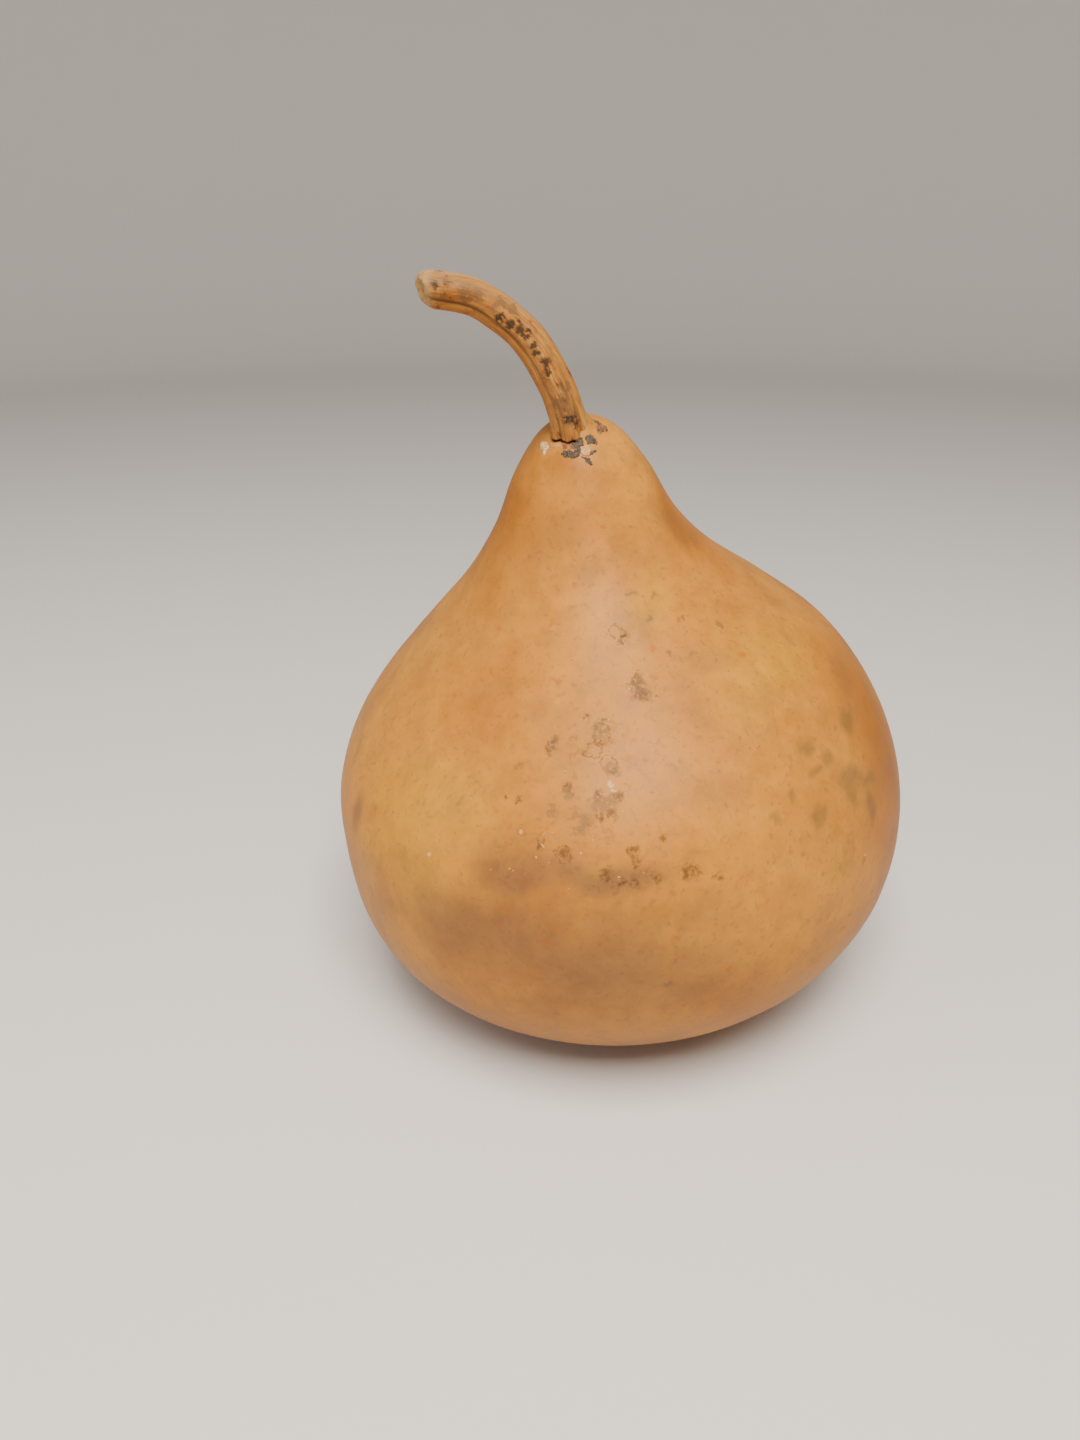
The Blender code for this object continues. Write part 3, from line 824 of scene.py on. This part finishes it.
    # relief: a faint orange peel, pits at the pores, scurf a hair lower than the skin
    inputs = {"Vector": spot, "Scale": 1 / look["peelSize"], "Detail": 3.0}
    peel = addNode(tree, "ShaderNodeTexNoise", inputs)
    relief = addNode(tree, "ShaderNodeMath", {0: mottle, 1: 3.0, 2: peel}, operation="MULTIPLY_ADD")
    relief = addNode(tree, "ShaderNodeMath", {0: pore, 1: -0.9, 2: relief}, operation="MULTIPLY_ADD")
    relief = addNode(tree, "ShaderNodeMath", {0: scurf, 1: -1.3, 2: relief}, operation="MULTIPLY_ADD")
    bump = addNode(tree, "ShaderNodeBump", {"Height": relief, "Strength": 0.4, "Distance": 0.08 * mm})
    tree.links.new(colour, shader.inputs["Base Color"])
    tree.links.new(rough, shader.inputs["Roughness"])
    tree.links.new(bump, shader.inputs["Normal"])
    shader.inputs["IOR"].default_value = 1.46
    shader.inputs["Specular IOR Level"].default_value = 0.14
    shader.inputs["Coat Weight"].default_value = 0.05
    shader.inputs["Coat Roughness"].default_value = 0.32
    return material


def fruitHeights():
    belly, springing = fruitShape["bellyHeight"], upperProfile[-1][0]
    depth = belly + fruitShape["baseSink"]
    fullness = fruitShape["baseFullness"]
    heights = []
    for i in range(rind["baseRings"]):
        share = rind["baseReach"] * i / rind["baseRings"] / fruitShape["bellyRadius"]
        heights.append(belly - depth * (1 - share ** fullness) ** (1 / fullness))
    edge = (1 - (rind["baseReach"] / fruitShape["bellyRadius"]) ** fullness) ** (1 / fullness)
    start = acos(edge)
    for i in range(rind["lowerRings"]):
        heights.append(belly - depth * cos(start + (pi / 2 - start) * i / rind["lowerRings"]))
    heights += [belly + (springing - belly) * i / rind["upperRings"] for i in range(rind["upperRings"])]
    dome = fruitShape["crownHeight"] - springing
    turns = [pi / 2 * i / rind["crownRings"] for i in range(rind["crownRings"] + 1)]
    return heights + [springing + dome * sin(turn) for turn in turns]


def fruitRings():
    rings = []
    for height in fruitHeights():
        across, along = ringAxes(height)
        radius = profileRadius(height)
        waves = [(share, lobes * start - gain * height, 0) for lobes, share, start, gain in swells]
        calm = smoothStep(radius / rind["calmReach"]) * smoothStep(height / rind["calmReach"] + 0.1)
        rings.append({
            "centre": axisPoint(height), "across": across, "along": along,
            "ring": (radius, height, calm),
            "waveA": waves[0], "waveB": waves[1], "waveC": waves[2],
        })
    return rings


def shapeStemFoot(mesh):
    # the skin rises to the stem all round, and at the front it has torn away below a lip; the dark tear
    # value holds that torn skin with painted shade under the lip, and painted shade close round the
    # stem's foot
    foot, _ = stemAt(stem["skinDistance"])
    tearsAndShade = np.zeros(len(mesh.vertices))
    for vertex in mesh.vertices:
        away = vertex.co - foot
        if away.length > rind["footShapeReach"]:
            continue
        spot, normal, _, gap = stemSkin.find_nearest(vertex.co)
        inside = (vertex.co - spot).dot(normal) < 0
        gap = 0.0 if inside else gap
        flat = Vector((away.x, away.y, 0)).normalized()
        front = smoothStep((-0.92 * flat.y - 0.4 * flat.x - 0.4) / 0.35)
        ragged = noise.noise(vertex.co / (2.2 * mm)) * 0.5 * mm
        near = max(1 - gap / rind["footReach"], 0.0) ** 2
        rise = rind["footRise"] + rind["rightRise"] * smoothStep((flat.x - 0.1) / 0.6)
        lip = front * smoothStep(1 - abs(gap + ragged - 0.2 * mm) / (0.9 * mm))
        vertex.co.z += rise * near * (1 - front) - rind["lipDepth"] * lip
        torn = front * smoothStep(1.25 - (gap + ragged) / (0.7 * mm))
        # torn skin with painted shade under the front lip, and painted shade on the skin close round the
        # stem's foot
        tearsAndShade[vertex.index] = 0.85 * torn + 0.3 * near ** 2
    storeValue(mesh, "tearScarAndShade", np.minimum(tearsAndShade, 1.0))


def pressScar(mesh):
    # the blossom scar, a shallow dish in the resting spot
    centre = Vector((*rind["scarCentre"], 0))
    for vertex in mesh.vertices:
        if vertex.co.z < 3 * mm:
            away = (Vector((vertex.co.x, vertex.co.y, 0)) - centre).length / rind["scarRadius"]
            if away < 1.0:
                pucker = 1 + 0.25 * noise.noise(vertex.co / (1.2 * mm))
                vertex.co.z += rind["scarDepth"] * smoothStep((1 - away) * 1.8) * pucker
                mesh.attributes["tearScarAndShade"].data[vertex.index].value = 0.8 * smoothStep((1 - away) * 3)


def paintZones(mesh):
    # writes how strongly each tint shows at each point of the skin
    spots = pointsOf(mesh)
    noise.seed_set(rind["tintSeed"])  # without it, noise_vector takes another seed in each run
    for number, (tint, zones) in enumerate(rindZones.items()):
        broad = tint in broadTints
        pitch, reach = (18 * mm, 9 * mm) if broad else (5 * mm, 2.4 * mm)
        shift = Vector((number, 7, 0))
        drift = np.array([noise.noise_vector(Vector(spot) / pitch + shift) for spot in spots]) * reach
        shown = np.zeros(len(spots))
        for turn, height, wide, tall in zones:
            point, level, upward, outward = skinFrame(turn, height)
            away = spots + drift - np.array(point)
            halves = ((level, wide), (upward, tall), (outward, max(wide, tall)))
            distance = np.sqrt(sum((away @ np.array(axis) / (half * mm)) ** 2 for axis, half in halves))
            near, far = (0.2, 1.7) if broad else (0.5, 1.3)
            fade = np.clip((far - distance) / (far - near), 0, 1)
            shown = np.maximum(shown, fade * fade * (3 - 2 * fade))
        storeValue(mesh, tint, shown)


rings = fruitRings()
values = {
    "Rings": len(rings), "Sides": rind["sides"], "Wave A": 2, "Wave B": 3, "Wave C": 5, "Seed": 4,
    "Relief Depth": rind["reliefDepth"], "Relief Size": rind["reliefSize"], "Grain Stretch": 1.0,
    "Rest Softness": rind["restSoftness"], "Material": makeRindMaterial(),
}
rindPiece = growPiece("rind", sweepTree, makeLine("fruit line", rings), values)
closeOutward(rindPiece.data)
shapeStemFoot(rindPiece.data)
pressScar(rindPiece.data)
paintZones(rindPiece.data)
rindSkin = skinTree(rindPiece.data)
print("rind:", len(rindPiece.data.polygons), "faces")


# Crusts round the stem's foot

# each crust: the place that it grows round (turn in degrees, height in mm), its outline on the skin
# from there (mm to the right, mm up the skin), its thickness and the width of its sloping edge in mm
crusts = {
    "scab": {
        "place": (-94.8, 173.5), "thickness": 0.34, "slope": 0.35, "finish": "scab",
        "outline": [
            (-1.2, 2.0), (0.2, 2.0), (1.2, 3.1), (1.9, 3.0), (2.1, 1.8), (2.6, 0.9), (2.2, -0.2),
            (1.6, -1.1), (1.5, -2.1), (0.1, -2.7), (-1.1, -2.4), (-2.4, -2.4), (-3.4, -1.3),
            (-2.9, -0.5), (-1.5, -0.4), (-0.1, -0.7), (0.4, 0.2), (-0.6, 0.8),
        ],
    },
    "torn_skin": {
        "place": (-99.0, 173.9), "thickness": 0.12, "slope": 0.3, "finish": "torn",
        "outline": [
            (-3.0, 1.0), (0.0, 1.2), (1.2, 0.3), (0.9, -0.8), (-0.4, -1.0), (-2.0, -1.0),
        ],
    },
    "right_scab": {
        "place": (-68.0, 174.7), "thickness": 0.30, "slope": 0.35, "finish": "scab",
        "outline": [
            (-1.3, 1.3), (-0.1, 1.7), (0.8, 1.0), (1.1, 0.1), (1.7, -0.5), (1.1, -1.4), (0.2, -1.0),
            (-0.7, -0.8), (-1.4, -0.7), (-1.7, 0.2),
        ],
    },
    "scab_chip": {
        "place": (-70.5, 172.7), "thickness": 0.22, "slope": 0.25, "finish": "scab",
        "outline": [
            (-0.7, 0.3), (0.7, 0.7), (1.0, 0.0), (-0.1, -0.7), (-0.9, -0.7),
        ],
    },
    "scab_tail": {
        "place": (-79.0, 171.2), "thickness": 0.24, "slope": 0.22, "finish": "scab",
        "outline": [
            (-2.1, 1.7), (-0.3, 0.7), (0.8, 0.7), (1.4, -1.1), (0.9, -1.5), (0.0, -0.6), (-0.7, 0.4),
            (-2.1, 1.4),
        ],
    },
    "lifted_scale": {
        "place": (-79.8, 173.1), "thickness": 0.5, "slope": 0.4, "finish": "scale",
        "outline": [
            (-1.5, 0.1), (-1.2, 1.1), (0.2, 1.6), (1.4, 0.9), (1.5, -0.3), (0.9, -1.6), (-0.2, -1.6),
            (-1.2, -0.8),
        ],
    },
    "dried_sap": {
        "place": (-141.5, 172.5), "thickness": 0.7, "slope": 1.1, "finish": "sap",
        "outline": [
            (-2.1, -0.1), (-2.0, 0.9), (-1.1, 1.4), (0.6, 1.5), (1.6, 0.7), (1.6, -0.5), (1.7, -1.5),
            (1.2, -2.2), (0.6, -1.6), (-0.3, -1.0), (-1.4, -0.8),
        ],
    },
    "brown_scab": {
        "place": (-35.0, 176.3), "thickness": 0.2, "slope": 0.5, "finish": "stain",
        "outline": [
            (0.2, 3.0), (2.1, 2.1), (1.7, 0.5), (2.5, -0.7), (1.2, -2.3), (-0.7, -1.9), (-2.3, -2.3),
            (-2.6, -1.3), (-1.2, 0.6), (-0.8, 1.9),
        ],
    },
}
crustFinish = {
    "scab": {
        "name": "dried scab", "roughness": 0.8,
        "high": "#574533", "low": "#22160D", "fleck": "#8C6F4E",
    },
    "torn": {
        "name": "torn inner skin", "roughness": 0.7,
        "high": "#935A27", "low": "#4E2B12", "fleck": "#A8763C",
    },
    "stain": {
        "name": "brown scab", "roughness": 0.7,
        "high": "#8E6234", "low": "#432A17", "fleck": "#A97B46",
    },
    "scale": {
        "name": "lifted skin scale", "roughness": 0.55,
        "high": "#BF9058", "low": "#A9763C", "fleck": "#7A5026",
    },
    "sap": {
        "name": "dried sap", "roughness": 0.4,
        "high": "#C29D78", "low": "#A37A50", "fleck": "#D0B292",
    },
}


def makeCrustMaterial(finish):
    # dried, cracked tissue: mottled light and dark, matt, or with the soft gloss of old sap
    material, tree, shader = startMaterial(finish["name"])
    spot = addNode(tree, "ShaderNodeTexCoord", out=3)
    mottleSize, fleckGap = 0.9 * mm, 0.8 * mm
    mottle = addNode(tree, "ShaderNodeTexNoise", {"Vector": spot, "Scale": 1 / mottleSize, "Detail": 5.0})
    share = addNode(tree, "ShaderNodeMapRange", {"Value": mottle, "From Min": 0.36, "From Max": 0.64})
    colour = mixColour(tree, share, hexColour(finish["low"]), hexColour(finish["high"]))
    cells = addNode(tree, "ShaderNodeTexVoronoi", {"Vector": spot, "Scale": 1 / fleckGap})
    inputs = {"Value": cells, "From Min": 0.28, "From Max": 0.12, "To Max": 0.5}
    fleck = addNode(tree, "ShaderNodeMapRange", inputs)
    colour = mixColour(tree, fleck, colour, hexColour(finish["fleck"]))
    bump = addNode(tree, "ShaderNodeBump", {"Height": mottle, "Strength": 0.6, "Distance": 0.25 * mm})
    inputs = {"Value": mottle, "To Min": finish["roughness"] - 0.1, "To Max": finish["roughness"] + 0.1}
    rough = addNode(tree, "ShaderNodeMapRange", inputs)
    tree.links.new(colour, shader.inputs["Base Color"])
    tree.links.new(rough, shader.inputs["Roughness"])
    tree.links.new(bump, shader.inputs["Normal"])
    shader.inputs["IOR"].default_value = 1.5
    return material


def depthInside(x, y, outline):
    # distance from the outline, positive inside
    nearest, inside = 1e9, False
    for (x0, y0), (x1, y1) in zip(outline, outline[1:] + outline[:1]):
        run, rise = x1 - x0, y1 - y0
        t = min(max(((x - x0) * run + (y - y0) * rise) / (run * run + rise * rise), 0.0), 1.0)
        nearest = min(nearest, sqrt((x - x0 - run * t) ** 2 + (y - y0 - rise * t) ** 2))
        if (y0 > y) != (y1 > y) and x < x0 + run * (y - y0) / rise:
            inside = not inside
    return nearest if inside else -nearest


def growCrust(name, crust, material):
    # a closed crust on a fine grid over the skin, its ragged edges sunk just under it
    step, margin, bury = 0.11, 0.5, 0.35 * mm
    place, level, upward, outward = skinFrame(*crust["place"])
    outline = crust["outline"]
    left, right = (pick(x for x, _ in outline) for pick in (min, max))
    bottom, top = (pick(y for _, y in outline) for pick in (min, max))
    columns = int((right - left + 2 * margin) / step)
    rows = int((top - bottom + 2 * margin) / step)
    bm = bmesh.new()
    grid = {}
    for i in range(columns + 1):
        for j in range(rows + 1):
            x, y = left - margin + i * step, bottom - margin + j * step
            jag = noise.noise(Vector((x * 1.6, y * 1.6, crust["place"][0]))) * 0.3
            jag += noise.noise(Vector((x * 5, y * 5, crust["place"][1]))) * 0.12
            inside = depthInside(x, y, outline) + jag
            if inside < -0.25:
                continue
            above = place + (level * x + upward * y) * mm + outward * 4 * mm
            spot, normal, _, _ = rindSkin.ray_cast(above, -outward, 12 * mm)
            if spot is None:
                continue
            lumps = 0.75 + 0.5 * noise.noise(Vector((x * 2.2, y * 2.2, 3.1)))
            height = crust["thickness"] * smoothStep(inside / crust["slope"]) * lumps
            height -= 0.12 * (inside < 0)
            grid[i, j] = bm.verts.new(spot + normal * height * mm)
    for i, j in grid:
        corners = [(i, j), (i + 1, j), (i + 1, j + 1), (i, j + 1)]
        if all(corner in grid for corner in corners):
            bm.faces.new([grid[corner] for corner in corners])
    loose = [vertex for vertex in bm.verts if not vertex.link_faces]
    under = bmesh.ops.extrude_face_region(bm, geom=bm.faces[:], use_keep_orig=True)["geom"]
    lower = [item for item in under if isinstance(item, bmesh.types.BMVert)]
    for vertex in lower:
        vertex.co -= outward * bury
    bmesh.ops.delete(bm, geom=loose, context="VERTS")
    bmesh.ops.recalc_face_normals(bm, faces=bm.faces)
    mesh = bpy.data.meshes.new(name)
    bm.to_mesh(mesh)
    bm.free()
    mesh.shade_smooth()
    mesh.materials.append(material)
    piece = linkObject(name, mesh)
    placePiece(piece, "rind")
    return len(mesh.polygons)


crustMaterials = {key: makeCrustMaterial(finish) for key, finish in crustFinish.items()}
crustFaces = [growCrust(name, crust, crustMaterials[crust["finish"]]) for name, crust in crusts.items()]
print("crusts:", len(crustFaces), "pieces,", sum(crustFaces), "faces")


# Loose flecks of outer skin on the scurf

flecks = {"density": 0.04e6, "smallest": 0.12 * mm, "largest": 0.42 * mm, "flatness": 0.28, "seed": 11}


def makeFleckTree():
    tree = bpy.data.node_groups.new("scatter skin flecks", "GeometryNodeTree")
    face = tree.interface
    face.new_socket("Skin", in_out="INPUT", socket_type="NodeSocketGeometry")
    for name in ("Density", "Smallest", "Largest", "Flatness"):
        face.new_socket(name, in_out="INPUT", socket_type="NodeSocketFloat")
    face.new_socket("Seed", in_out="INPUT", socket_type="NodeSocketInt")
    face.new_socket("Material", in_out="INPUT", socket_type="NodeSocketMaterial")
    face.new_socket("Flecks", in_out="OUTPUT", socket_type="NodeSocketGeometry")
    given = tree.nodes.new("NodeGroupInput").outputs
    zone = addNode(tree, "GeometryNodeInputNamedAttribute", {"Name": "scurf"}, data_type="FLOAT")
    zone = addNode(tree, "ShaderNodeMath", {0: zone, 1: 2.0}, operation="POWER")
    density = addNode(tree, "ShaderNodeMath", {0: zone, 1: given["Density"]}, operation="MULTIPLY")
    inputs = {"Mesh": given["Skin"], "Density": density, "Seed": given["Seed"]}
    points = addNode(tree, "GeometryNodeDistributePointsOnFaces", inputs).node
    size = {2: given["Smallest"], 3: given["Largest"], "Seed": given["Seed"]}
    size = addNode(tree, "FunctionNodeRandomValue", size, out=1, data_type="FLOAT")
    spin = addNode(tree, "FunctionNodeRandomValue", {3: 2 * pi, "Seed": 5}, out=1, data_type="FLOAT")
    fleck = addNode(tree, "GeometryNodeMeshIcoSphere", {"Radius": 1.0, "Subdivisions": 1})
    shape = addNode(tree, "ShaderNodeCombineXYZ", {0: 1.0, 1: 0.7, 2: given["Flatness"]})
    fleck = addNode(tree, "GeometryNodeTransform", {"Geometry": fleck, "Scale": shape})
    turned = addNode(tree, "FunctionNodeRotateRotation", {0: points.outputs["Rotation"]}).node
    turned.rotation_space = "LOCAL"
    around = addNode(tree, "FunctionNodeAxisAngleToRotation", {"Axis": (0, 0, 1), "Angle": spin})
    tree.links.new(around, turned.inputs[1])
    inputs = {"Points": points.outputs["Points"], "Instance": fleck, "Scale": size}
    inputs["Rotation"] = turned.outputs[0]
    scattered = addNode(tree, "GeometryNodeInstanceOnPoints", inputs)
    scattered = addNode(tree, "GeometryNodeRealizeInstances", {0: scattered})
    inputs = {"Geometry": scattered, "Material": given["Material"]}
    scattered = addNode(tree, "GeometryNodeSetMaterial", inputs)
    addNode(tree, "NodeGroupOutput", {0: scattered})
    return tree


values = {
    "Density": flecks["density"], "Smallest": flecks["smallest"], "Largest": flecks["largest"],
    "Flatness": flecks["flatness"], "Seed": flecks["seed"], "Material": crustMaterials["scale"],
}
fleckBase = linkObject("fleck ground", rindPiece.data.copy())
fleckPiece = growPiece("skin_flecks", makeFleckTree(), fleckBase, values)
placePiece(fleckPiece, "rind")
print("flecks:", len(fleckPiece.data.polygons), "faces")

placePiece(rindPiece, "rind", "fruit")
placePiece(stemPiece, "stem_wood", "stem")


# Floor, light and camera

studio = {
    "floor": "#D9D5D1",
    "floorReach": 1.45,
    "floorBend": 0.4,
    "wallTop": 1.3,
    "world": "#E8EAEC",
    "worldStrength": 0.30,
    "keyPlace": (0.06, -0.56, 0.98),
    "keyAim": (0.0, 0.0, 0.09),
    "keySize": 0.55,
    "keyPower": 26.0,
    "keyTint": "#FFF6EA",
    "fillPlace": (-0.9, -0.5, 0.6),
    "fillAim": (0.0, 0.0, 0.08),
    "fillSize": 0.8,
    "fillPower": 2.5,
    "fillTint": "#F4F6FF",
    "cameraPlace": (8.9 * mm, -302.9 * mm, 226.4 * mm),
    "cameraTilt": radians(65.0),
    "cameraTurn": radians(5.6),
    "lens": 27.5,
    "paperGrain": 1.2 * mm,
}


def makePaperMaterial():
    # seamless paper: matt, near white
    material, tree, shader = startMaterial("seamless paper")
    grain = addNode(tree, "ShaderNodeTexCoord", out=3)
    inputs = {"Vector": grain, "Scale": 1 / studio["paperGrain"], "Detail": 2.0}
    grain = addNode(tree, "ShaderNodeTexNoise", inputs)
    bump = addNode(tree, "ShaderNodeBump", {"Height": grain, "Strength": 0.1, "Distance": 0.05 * mm})
    tree.links.new(bump, shader.inputs["Normal"])
    shader.inputs["Base Color"].default_value = hexColour(studio["floor"])
    shader.inputs["Roughness"].default_value = 0.9
    return material


def makeFloor():
    # a level floor that sweeps up all round, so that every side has the same plain background
    reach, bend = studio["floorReach"], studio["floorBend"]
    line = [(0.0, 0.0), (reach * 0.9, 0.0), (reach, 0.0)]
    turns = [pi / 2 * i / 12 for i in range(1, 13)]
    line += [(reach + bend * sin(turn), bend - bend * cos(turn)) for turn in turns]
    line.append((reach + bend, studio["wallTop"]))
    bm = bmesh.new()
    corners = [bm.verts.new((x, 0, z)) for x, z in line]
    edges = [bm.edges.new(pair) for pair in zip(corners, corners[1:])]
    around = {"cent": (0, 0, 0), "axis": (0, 0, 1), "angle": 2 * pi, "steps": 96}
    bmesh.ops.spin(bm, geom=corners + edges, use_merge=True, **around)
    bmesh.ops.remove_doubles(bm, verts=bm.verts, dist=0.01 * mm)
    bmesh.ops.recalc_face_normals(bm, faces=bm.faces)
    bm.faces.ensure_lookup_table()
    if bm.faces[0].normal.z < 0:
        bmesh.ops.reverse_faces(bm, faces=bm.faces)
    mesh = bpy.data.meshes.new("studio floor")
    bm.to_mesh(mesh)
    bm.free()
    mesh.shade_smooth()
    mesh.materials.append(makePaperMaterial())
    return linkObject("studio_floor", mesh)


def addSoftbox(kind):
    name, place = kind + " softbox", Vector(studio[kind + "Place"])
    data = bpy.data.lights.new(name, "AREA")
    data.shape = "SQUARE"
    data.size = studio[kind + "Size"]
    data.energy = studio[kind + "Power"]
    data.color = hexColour(studio[kind + "Tint"])[:3]
    lamp = bpy.data.objects.new(name, data)
    lamp.location = place
    lamp.rotation_euler = (Vector(studio[kind + "Aim"]) - place).to_track_quat("-Z", "Y").to_euler()
    bpy.context.scene.collection.objects.link(lamp)


def addCamera():
    lens = bpy.data.cameras.new("camera")
    lens.sensor_width = 36
    lens.lens = studio["lens"]
    lens.clip_start = 0.01
    camera = bpy.data.objects.new("camera", lens)
    camera.location = studio["cameraPlace"]
    camera.rotation_euler = (studio["cameraTilt"], 0.0, studio["cameraTurn"])
    bpy.context.scene.collection.objects.link(camera)
    bpy.context.scene.camera = camera


def lightWorld():
    world = bpy.data.worlds.new("studio light")
    world.use_nodes = True
    background = world.node_tree.nodes["Background"]
    background.inputs[0].default_value = hexColour(studio["world"])
    background.inputs[1].default_value = studio["worldStrength"]
    bpy.context.scene.world = world


makeFloor()
addSoftbox("key")
addSoftbox("fill")
lightWorld()
addCamera()
